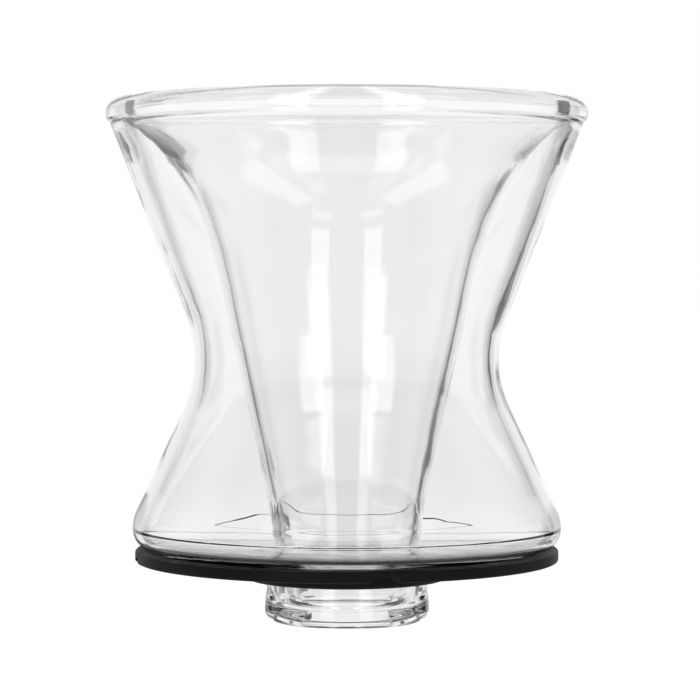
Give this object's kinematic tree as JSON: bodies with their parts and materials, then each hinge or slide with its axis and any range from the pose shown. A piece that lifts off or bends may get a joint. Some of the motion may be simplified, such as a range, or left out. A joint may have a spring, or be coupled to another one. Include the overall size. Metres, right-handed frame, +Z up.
{
  "type": "pour over dripper",
  "caption": "Double-walled clear glass dripper with an hourglass outer wall, a filter funnel inside and a removable black silicone base for resting on a mug.",
  "frame": {"origin": "on the axis of revolution, level with the lower end of the drip spout", "axes": "+Z up along the axis of revolution, out of the mouth; -Y towards the front, with one vent channel turned 9.4 degrees from it towards +X"},
  "size_m": [0.12, 0.12, 0.13],
  "materials": {
    "clear_glass": "clear, fire-polished",
    "black_silicone": "soft matte"
  },
  "bodies": {
    "glass_vessel": {"outer_jacket": "clear_glass", "inner_funnel": "clear_glass", "drip_spout": "clear_glass"},
    "base": {"silicone_base": "black_silicone"}
  },
  "joints": [
    {"name": "base_pull", "type": "slide", "parent": "glass_vessel", "child": "base", "axis": [0, 0, -1], "range_m": [0, 0.022]}
  ]
}
